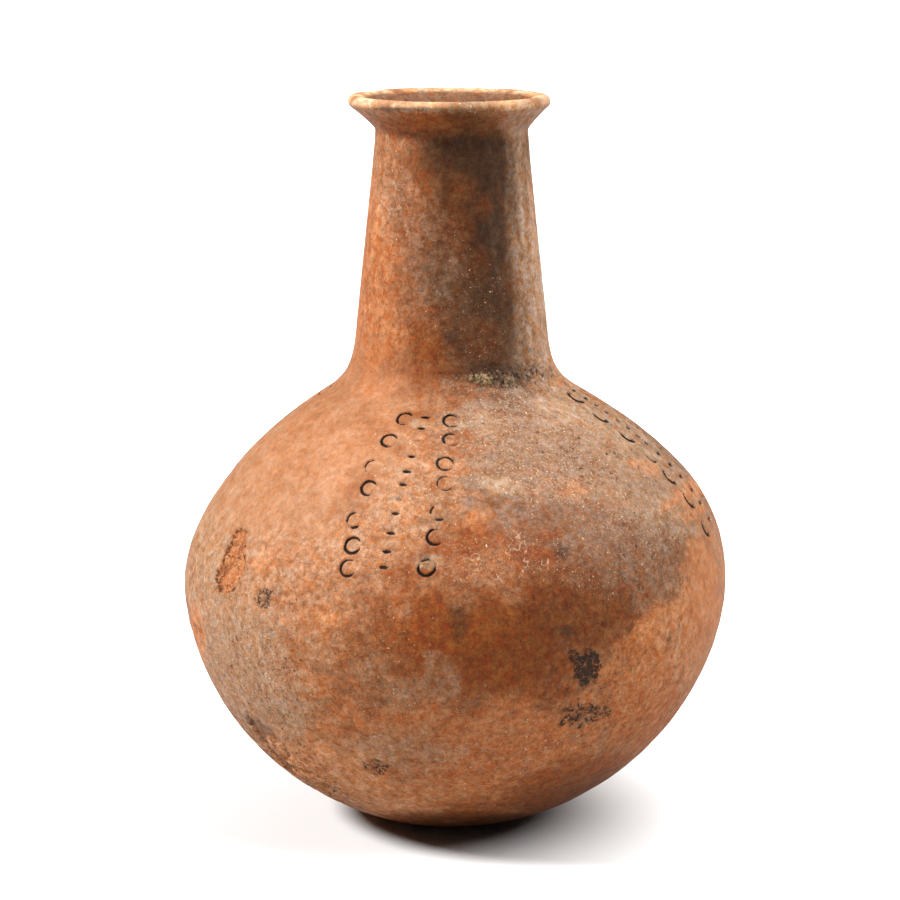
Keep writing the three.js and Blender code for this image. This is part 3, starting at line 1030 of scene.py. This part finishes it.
    # Paler along the right edge of the neck where the right light grazes it: painted rim light over some real
    # dust.
    Coat("dust and rim light pink", strokes, 0.5, 1.6, {
        "right edge of the neck": Seen(549, 235, 32, 150, 0, 0.9),
        "under the lip at the right": Seen(520, 128, 14, 10, 0, 0.7),
        "foot of the neck": Seen(545, 350, 14, 40, 0, 0.7),
        "back of the neck": Patch(105, 180, 16, 40, 0, 0.7),
    }),
]
# Lighter spots are also less red, so a change of tone is smallest in red and largest in blue.
TONE_SHARES = np.array([0.09, 0.17, 0.28])


def stain(surface, mask, name):
    """Lays one colour of the palette over the wall where the mask says."""
    return surface + mask[:, None] * (np.array(colour(PALETTE[name])) - surface)


coat = np.tile(colour(PALETTE["salmon"]), (len(wall.turn), 1))
coat = stain(coat, 0.6 * ease(clouds, 0.0, 0.8), "pale salmon")
coat = stain(coat, 0.35 * ease(-clouds, 0.1, 0.8), "brick")
# The pale crest of the lip, partly its own colour and partly a painted highlight where the light from above
# falls, reaches a few millimetres down on both sides of its crest.
on_rim = ease(wall.along, CREST - 4.5, CREST - 2.5) * (1 - ease(wall.along, CREST + 1.5, CREST + 4))
coat = stain(coat, 0.9 * on_rim * ease(blots + 0.9, 0.3, 0.9), "peach")
coat = stain(coat, 0.35 * on_rim * ease(lumps, 0.1, 0.5), "orange")
coat = stain(coat, ease(wall.along + lumps, CREST + 1.5, CREST + 4), "inside clay")
for layer in COATS:
    mask = np.zeros(len(wall.turn))
    for place in layer.places.values():
        depth = inside_place(wall, place) + layer.ragged * layer.broken_by
        share = ease(depth, -layer.soft / 2, layer.soft / 2)
        mask = np.maximum(mask, place.strength * share * wall.outside)
    coat = stain(coat, mask, layer.colour)
    print(layer.colour, "covers", round(100 * float((mask > 0.5).mean())), "% of the vertices")

tone = 0.9 * blots + 0.8 * lumps + 0.5 * crumbs + 0.7 * flecks + 0.8 * on_neck * strokes
coat[:, :3] *= np.exp(np.clip(tone, -2, 2)[:, None] * TONE_SHARES)
coated = pot.data.attributes.new("coat", "FLOAT_COLOR", "POINT")
coated.data.foreach_set("color", coat.ravel())

# %% Where the grain lies
# Pale powder, dark specks and soot are too fine for the vertices. Each gets a mask that says how much of it
# there is, and the material draws it. Each mask: how much lies everywhere, the noise that breaks its edges,
# and its places.
GRAIN_PLACES = {
    "calm": (0.0, 0.0, {
        "left shoulder": Seen(300, 440, 130, 90, 30, 0.9),
        "right edge": Seen(712, 600, 26, 110, 0, 0.7),
        "lip": Seen(450, 98, 110, 10, 0, 0.7),
        "inside the mouth": Seen(450, 92, 90, 8, 0, 0.8),
    }),
    "powder": (0.05, 0.4 * flecks, {
        "shoulder": Seen(548, 448, 110, 60, -18, 1.0),
        "right shoulder": Seen(645, 490, 66, 66, -40, 0.95),
        "low cheek": Seen(600, 560, 70, 40, 0, 0.6),
        "left low": Seen(245, 660, 66, 110, 15, 0.85),
        "left cheek": Seen(330, 560, 120, 90, 0, 0.3),
        "left shoulder": Seen(270, 470, 70, 60, 0, 0.2),
        "below the marks": Seen(370, 640, 80, 50, 0, 0.5),
        "low": Seen(430, 745, 150, 60, 0, 0.6),
        "among the marks": Seen(415, 500, 60, 90, 0, 0.6),
        "roots": Seen(500, 560, 70, 30, 0, 0.7),
        "scuffs on the neck": Seen(394, 200, 16, 50, 0, 0.6),
        "neck": Seen(440, 280, 40, 76, 0, 0.4),
        "low on the neck": Seen(478, 310, 36, 60, 0, 0.5),
        "right of the neck": Seen(546, 250, 36, 140, 0, 0.25),
        "foot of the neck": Seen(480, 382, 40, 14, 0, 0.8),
        "rim": Seen(450, 104, 110, 14, 0, 0.6),
        "right side": Patch(100, 105, 40, 30, 0, 0.8),
        "left side": Patch(-110, 70, 50, 50, 0, 0.6),
        "back": Patch(190, 100, 90, 40, 0, 0.6),
    }),
    "pitted": (0.08, 0.3 * lumps, {
        "left cheek": Seen(285, 600, 50, 60, 0, 0.4),
        "upper left": Seen(300, 495, 50, 40, 0, 0.35),
        "dust": Seen(560, 452, 100, 52, -18, 0.6),
        "right": Seen(655, 570, 50, 60, 0, 0.7),
        "low right": Seen(600, 700, 70, 56, 0, 0.7),
        "low left": Seen(250, 690, 60, 80, 20, 0.8),
        "foot of the neck": Seen(515, 374, 50, 14, 0, 1.0),
        "middle": Seen(480, 620, 90, 50, 0, 0.5),
        "ragged heel": Seen(300, 765, 70, 24, -35, 0.9),
        "low": Seen(420, 770, 80, 26, 0, 0.6),
        "right side": Patch(100, 90, 40, 40, 0, 0.6),
        "left side": Patch(-110, 60, 50, 50, 0, 0.6),
        "back": Patch(180, 60, 90, 50, 0, 0.5),
    }),
    "soot": (0.0, 0.35 * lumps, {
        "upper flake": Seen(587, 668, 15, 22, -20, 1.0),
        "upper dot": Seen(575, 656, 8, 9, 0, 0.9),
        "lower flakes": Seen(578, 716, 22, 14, 15, 0.85),
        "lower right flakes": Seen(602, 712, 13, 9, 0, 0.8),
    }),
    "hatching": (0.0, 0.35 * lumps, {
        "beside the hollow": Seen(263, 597, 11, 12, 0, 1.0),
        "small": Seen(283, 577, 10, 5, 0, 0.6),
        "third": Seen(291, 602, 8, 5, 0, 0.6),
        "chips": Seen(376, 768, 17, 8, -15, 0.9),
        "pits at the neck": Seen(534, 371, 10, 9, 0, 0.85),
        "foot of the neck": Seen(505, 378, 32, 8, 0, 0.6),
        "curved marks": Seen(543, 392, 8, 9, -40, 0.7),
        "smudge": Seen(459, 632, 9, 13, 0, 0.6),
        "small smudge": Seen(458, 618, 7, 6, 0, 0.6),
        "dark grains": Seen(600, 474, 54, 10, -20, 0.5),
        "more grains": Seen(560, 452, 60, 10, -16, 0.45),
        "grains by the panel": Seen(612, 450, 14, 8, -40, 0.7),
        "foot": Seen(275, 750, 46, 10, -42, 0.45),
        "heel": Seen(330, 790, 46, 8, -28, 0.6),
        "low line": Seen(300, 628, 30, 5, 0, 0.4),
        "soot above": Seen(583, 685, 26, 42, 0, 0.3),
        "lip": Seen(414, 110, 26, 3, 0, 0.35),
        "left shoulder": Seen(300, 497, 16, 5, 10, 0.5),
    }),
    "roots": (0.0, 0.2 * lumps, {
        "tall root": Seen(476, 562, 8, 18, 0, 1.0),
        "loops": Seen(515, 545, 16, 20, 0, 0.9),
        "right root": Seen(535, 563, 20, 7, 0, 1.0),
        "down": Seen(496, 578, 8, 16, 0, 0.8),
        "left": Seen(460, 575, 12, 8, 0, 0.7),
        "on the neck": Seen(392, 198, 14, 22, 0, 0.6),
        "neck low": Seen(420, 235, 20, 24, 0, 0.4),
        "below": Seen(450, 745, 50, 14, 0, 0.5),
    }),
}
MASK_SOFT = 0.3
masks = {}
for name, (anywhere, broken_by, places) in GRAIN_PLACES.items():
    masks[name] = anywhere * (1 + 2 * broken_by)
    for place in places.values():
        share = place.strength * ease(inside_place(wall, place) + broken_by, -MASK_SOFT, MASK_SOFT)
        masks[name] = np.maximum(masks[name], share)
    masks[name] = masks[name] * wall.outside
masks["crust"] = np.max(
    [height * ease(inside_place(wall, place), 0, 0.5) for place, height, _ in CRUST_PLACES.values()],
    axis=0,
)
masks["spall"] = spall
# Dark along the edge of the flaked hollow: painted shadow of its broken rim, and a little darkening over its
# floor.
masks["spall_rim_shadow"] = spall * (1 - ease(spall_edge, 0.2, 1.0)) + 0.35 * spall
# Every place sunk below the clay is darkened the deeper it lies: painted shade.
masks["sunk"] = np.clip(-relief - 0.3, 0, 1.5) * wall.outside * (1 - spall)
masks["ring_edge"] = ring_edge
masks["ring_depth"] = ring_depth
masks["prick_edge"] = prick_edge
masks["prick_depth"] = prick_depth
for name, values in masks.items():
    pot.data.attributes.new(name, "FLOAT", "POINT").data.foreach_set("value", values)
    print(name, "from", round(float(values.min()), 2), "to", round(float(values.max()), 2))

# %% [markdown]
# ## The clay
# Earthenware is red clay baked at a low heat. It was rubbed with a pebble while leather hard, which leaves
# a dull sheen but no glaze. So it is a rough, non-metallic surface with the usual index of 1.5. The coats
# give its colour, and the material adds what is finer than a vertex: grain, powder, specks, soot and dirt,
# and painted shade in the rings, pricks and hollows and along the edge of the flaked hollow.

# %% Helpers for the material
clay = bpy.data.materials.new("burnished earthenware")
clay.use_nodes = True
tree = clay.node_tree
tree.nodes.clear()


def node(kind, settings, sockets):
    """Adds a node with its settings, and gives its sockets values or links."""
    made = tree.nodes.new("ShaderNode" + kind)
    for name, value in settings.items():
        setattr(made, name, value)
    for name, value in sockets.items():
        if isinstance(value, bpy.types.NodeSocket):
            tree.links.new(value, made.inputs[name])
        else:
            made.inputs[name].default_value = value
    return made


# %% Grains
# Every pattern on the clay, by the size of its lumps in millimetres, its octaves, its roughness from one
# octave to the next, its distortion and how strong its contrast is. Each also has its opposite, whose name
# says low.
GRAINS = {
    "fine": (1.7, 3, 0.70, 0.2, 2.2),
    "grit": (0.60, 1, 0.55, 0.0, 2.0),
    "crumbly": (1.1, 4, 0.78, 0.4, 2.2),
    "ragged": (3.6, 5, 0.75, 0.6, 2.4),
    "flaky": (2.4, 6, 0.80, 1.6, 2.4),
    "tint": (2.6, 5, 0.92, 0.3, 5.6),
    "value": (2.2, 5, 0.92, 0.3, 4.6),
}
# Each pattern starts this far from the one before, in metres, so their lumps don't coincide.
GRAIN_APART = 0.031
place = node("TexCoord", {}, {}).outputs["Object"]
grains = {}
for number, (name, (size, octaves, rough_by, bent, contrast)) in enumerate(GRAINS.items()):
    moved = node("Mapping", {}, {"Vector": place, "Location": (GRAIN_APART * number, 0, 0)})
    made = node(
        "TexNoise",
        {},
        {
            "Vector": moved.outputs[0],
            "Scale": 1 / (MM * size),
            "Detail": octaves,
            "Roughness": rough_by,
            "Distortion": bent,
        },
    )
    for title, first, last in ((name, 0, 1), ("low " + name, 1, 0)):
        stretched = node(
            "MapRange",
            {},
            {
                "Value": made.outputs["Fac"],
                "From Min": 0.5 - 0.5 / contrast,
                "From Max": 0.5 + 0.5 / contrast,
                "To Min": first,
                "To Max": last,
            },
        )
        grains[title] = stretched.outputs[0]
paint = {}
for name in masks:
    paint[name] = node("Attribute", {"attribute_name": name}, {}).outputs["Fac"]
surface = node("Attribute", {"attribute_name": "coat"}, {}).outputs["Color"]
print(len(grains), "grains and", len(paint), "masks")

# %% Layers
# Each layer: its mask, how it mixes, its colour, the grain that breaks it up, the grain value from which it
# lies where the mask is 0 and where it is 1, how soft its edge is, how much it hides and how thick it is in
# millimetres. A layer without a mask lies everywhere.
FINE_HEIGHTS = {"fine": 0.10, "grit": 0.04, "crumbly": 0.07}
LAYERS = [
    ("powder", "MIX", "#90705a", "crumbly", 1.05, 0.52, 0.14, 0.36, 0.05),
    ("powder", "MIX", "#a88c70", "grit", 1.10, 0.72, 0.10, 0.50, 0.04),
    ("pitted", "MULTIPLY", "#7a5644", "low crumbly", 1.10, 0.62, 0.10, 0.75, -0.08),
    ("soot", "MIX", "#1a120b", "flaky", 1.15, 0.42, 0.06, 0.92, 0.10),
    ("hatching", "MIX", "#22150c", "low crumbly", 1.10, 0.50, 0.06, 0.85, -0.10),
    ("spall", "MIX", "#a55f30", "crumbly", 1.05, 0.05, 0.20, 0.80, 0.15),
    ("spall", "MULTIPLY", "#8a5a3e", "low ragged", 1.30, 0.60, 0.12, 0.60, -0.15),
    ("spall", "MIX", "#b3855c", "grit", 1.30, 0.62, 0.10, 0.60, 0.10),
    # Painted shadow along the edge of the flaked hollow, and dark crumbs over its floor.
    ("spall_rim_shadow", "MIX", "#3f2312", "low crumbly", 1.10, 0.42, 0.08, 0.85, -0.15),
    ("crust", "MIX", "#8d7450", "crumbly", 1.05, 0.25, 0.12, 0.90, 0.25),
    ("crust", "MULTIPLY", "#4a3624", "low fine", 1.20, 0.62, 0.10, 0.80, -0.10),
]
# What the bare clay is multiplied by where a grain is lowest and highest: one grain shifts the hue, the
# other the brightness.
SWINGS = {
    "tint": ((0.90, 0.62, 0.26), (1.10, 1.34, 1.66)),
    "value": ((0.62, 0.62, 0.62), (1.38, 1.38, 1.38)),
}

swing = node("Math", {"operation": "MULTIPLY_ADD"}, {0: paint["calm"], 1: -0.55, 2: 1.0}).outputs[0]
for name, (lowest, highest) in SWINGS.items():
    centred = node("Math", {"operation": "SUBTRACT"}, {0: grains[name], 1: 0.5})
    level = node("Math", {"operation": "MULTIPLY_ADD"}, {0: centred.outputs[0], 1: swing, 2: 0.5})
    shade = node("Mix", {"data_type": "RGBA"}, {0: level.outputs[0], 6: (*lowest, 1), 7: (*highest, 1)})
    surface = node(
        "Mix", {"data_type": "RGBA", "blend_type": "MULTIPLY"}, {0: 1.0, 6: surface, 7: shade.outputs[2]}
    ).outputs[2]
stands = node("Math", {"operation": "MULTIPLY"}, {0: grains["ragged"], 1: 0.10})
for name, share in FINE_HEIGHTS.items():
    stands = node("Math", {"operation": "MULTIPLY_ADD"}, {0: grains[name], 1: share, 2: stands.outputs[0]})
for mask, way, code, grain_name, none_from, full_from, soft, hides, thick in LAYERS:
    level = paint[mask] if mask else 0.0
    starts = node("Math", {"operation": "MULTIPLY_ADD"}, {0: level, 1: full_from - none_from, 2: none_from})
    past = node("Math", {"operation": "SUBTRACT"}, {0: grains[grain_name], 1: starts.outputs[0]})
    cover = node(
        "MapRange",
        {"interpolation_type": "SMOOTHSTEP"},
        {"Value": past.outputs[0], "From Min": -soft, "From Max": soft, "To Min": 0, "To Max": hides},
    )
    mixed = node(
        "Mix", {"data_type": "RGBA", "blend_type": way}, {0: cover.outputs[0], 6: surface, 7: colour(code)}
    )
    surface = mixed.outputs[2]
    if thick:
        sockets = {0: cover.outputs[0], 1: thick, 2: stands.outputs[0]}
        stands = node("Math", {"operation": "MULTIPLY_ADD"}, sockets)
print(len(LAYERS), "layers")

# %% Grains and pits
# Round spots come from cells: a spot is what lies near the middle of a cell. Each kind: the spacing of its
# cells and the radius of its spots in millimetres, the mask that brings more of them, how many lie outside
# that mask, its colour and its height. Only spots that are pits have a height.
SPOTS = [
    (1.4, 0.28, "powder", 0.06, "#c2a685", 0),
    (2.5, 0.36, "pitted", 0.07, "#24130a", -0.22),
]
# The second pattern of cells starts this far from the first, in metres, so their spots don't coincide. At
# most this share of the cells holds a spot.
CELLS_APART = 0.31
MOST_CELLS = 0.9
warp = node("TexNoise", {}, {"Vector": place, "Scale": 1 / (0.8 * MM), "Detail": 1})
warp = node("VectorMath", {"operation": "SUBTRACT"}, {0: warp.outputs["Color"], 1: (0.5, 0.5, 0.5)})
warp = node("VectorMath", {"operation": "SCALE"}, {0: warp.outputs[0], "Scale": 1.2 * MM})
warped = node("VectorMath", {"operation": "ADD"}, {0: place, 1: warp.outputs[0]})

for number, (spacing, radius, mask, anywhere, code, tall) in enumerate(SPOTS):
    moved = node("Mapping", {}, {"Vector": warped.outputs[0], "Location": (CELLS_APART * number, 0, 0)})
    cells = node("TexVoronoi", {}, {"Vector": moved.outputs[0], "Scale": 1 / (spacing * MM)})
    draw = node("SeparateColor", {}, {"Color": cells.outputs["Color"]})
    more = MOST_CELLS - anywhere
    often = node("Math", {"operation": "MULTIPLY_ADD"}, {0: paint[mask], 1: more, 2: anywhere})
    chosen = node("Math", {"operation": "SUBTRACT"}, {0: often.outputs[0], 1: draw.outputs[0]})
    reach = node(
        "MapRange",
        {},
        {"Value": chosen.outputs[0], "From Min": 0, "From Max": 0.4, "To Max": radius / spacing},
    )
    spot = node("Math", {"operation": "SUBTRACT"}, {0: reach.outputs[0], 1: cells.outputs["Distance"]})
    cover = node(
        "MapRange",
        {"interpolation_type": "SMOOTHSTEP"},
        {"Value": spot.outputs[0], "From Min": 0, "From Max": 0.5 * radius / spacing, "To Max": 0.85},
    )
    mixed = node("Mix", {"data_type": "RGBA"}, {0: cover.outputs[0], 6: surface, 7: colour(code)})
    surface = mixed.outputs[2]
    if tall:
        sockets = {0: cover.outputs[0], 1: tall, 2: stands.outputs[0]}
        stands = node("Math", {"operation": "MULTIPLY_ADD"}, sockets)

# Rootlets left pale winding lines.
root_colour = colour(PALETTE["rootlet"])
wander = node("TexNoise", {}, {"Vector": place, "Scale": 1 / (3.2 * MM), "Detail": 1, "Distortion": 0.4})
beside = node("Math", {"operation": "SUBTRACT"}, {0: wander.outputs["Fac"], 1: 0.5})
beside = node("Math", {"operation": "ABSOLUTE"}, {0: beside.outputs[0]})
broken = node("Math", {"operation": "MULTIPLY"}, {0: paint["roots"], 1: grains["fine"]})
broken = node("Math", {"operation": "MULTIPLY"}, {0: broken.outputs[0], 1: 0.05})
line = node("Math", {"operation": "SUBTRACT"}, {0: broken.outputs[0], 1: beside.outputs[0]})
line = node("MapRange", {}, {"Value": line.outputs[0], "From Min": 0, "From Max": 0.016, "To Max": 0.5})
surface = node("Mix", {"data_type": "RGBA"}, {0: line.outputs[0], 6: surface, 7: root_colour}).outputs[2]
print(len(SPOTS), "kinds of spots")

# %% Dirt and painted shade in the marks
# A ring's line is dark where the reed went in: dirt and painted shade in the groove. Its groove is at edge 0,
# and the line frays a little.
frayed = node("Math", {"operation": "MULTIPLY_ADD"}, {0: grains["fine"], 1: 0.34, 2: paint["ring_edge"]})
frayed = node("Math", {"operation": "SUBTRACT"}, {0: frayed.outputs[0], 1: 0.17})
frayed = node("Math", {"operation": "ABSOLUTE"}, {0: frayed.outputs[0]})
wide = node("Math", {"operation": "MULTIPLY"}, {0: paint["ring_depth"], 1: 1.05 * RING_GROOVE})
line = node("Math", {"operation": "SUBTRACT"}, {0: wide.outputs[0], 1: frayed.outputs[0]})
line = node(
    "MapRange",
    {"interpolation_type": "SMOOTHSTEP"},
    {"Value": line.outputs[0], "From Min": -0.02, "From Max": 0.14, "To Min": 0, "To Max": 0.98},
)
hole = node(
    "MapRange",
    {"interpolation_type": "SMOOTHSTEP"},
    {"Value": paint["prick_edge"], "From Min": 0, "From Max": -0.35, "To Min": 0, "To Max": 1},
)
hole = node("Math", {"operation": "MULTIPLY"}, {0: hole.outputs[0], 1: paint["prick_depth"]})
# Painted shade in hollows, from their depth.
sunk = node(
    "MapRange",
    {},
    {"Value": paint["sunk"], "From Min": 0.1, "From Max": 0.9, "To Min": 0, "To Max": 0.6},
)
dirt_and_shade = {"grime and shade in a ring": line, "grime and shade in a prick": hole, "shade in a hollow": sunk}
for name, cover in dirt_and_shade.items():
    mixed = node("Mix", {"data_type": "RGBA"}, {0: cover.outputs[0], 6: surface, 7: colour(PALETTE[name])})
    surface = mixed.outputs[2]
print(len(dirt_and_shade), "kinds of dirt")

# %% Surface and finish
bump = node("Bump", {}, {"Strength": 1.0, "Distance": MM, "Height": stands.outputs[0]})
rough_value = node(
    "MapRange", {}, {"Value": grains["ragged"], "From Min": 0, "From Max": 1, "To Min": 0.5, "To Max": 0.75}
)
shader = node(
    "BsdfPrincipled",
    {},
    {"Base Color": surface, "Roughness": rough_value.outputs[0], "IOR": 1.5, "Normal": bump.outputs[0]},
)
shader.inputs["Specular IOR Level"].default_value = 0.15
node("OutputMaterial", {}, {"Surface": shader.outputs[0]})
pot.data.materials.append(clay)
print(len(tree.nodes), "nodes in", clay.name)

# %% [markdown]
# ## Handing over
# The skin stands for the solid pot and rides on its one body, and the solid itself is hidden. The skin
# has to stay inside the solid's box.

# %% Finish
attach(pot, "root")
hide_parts("vase")
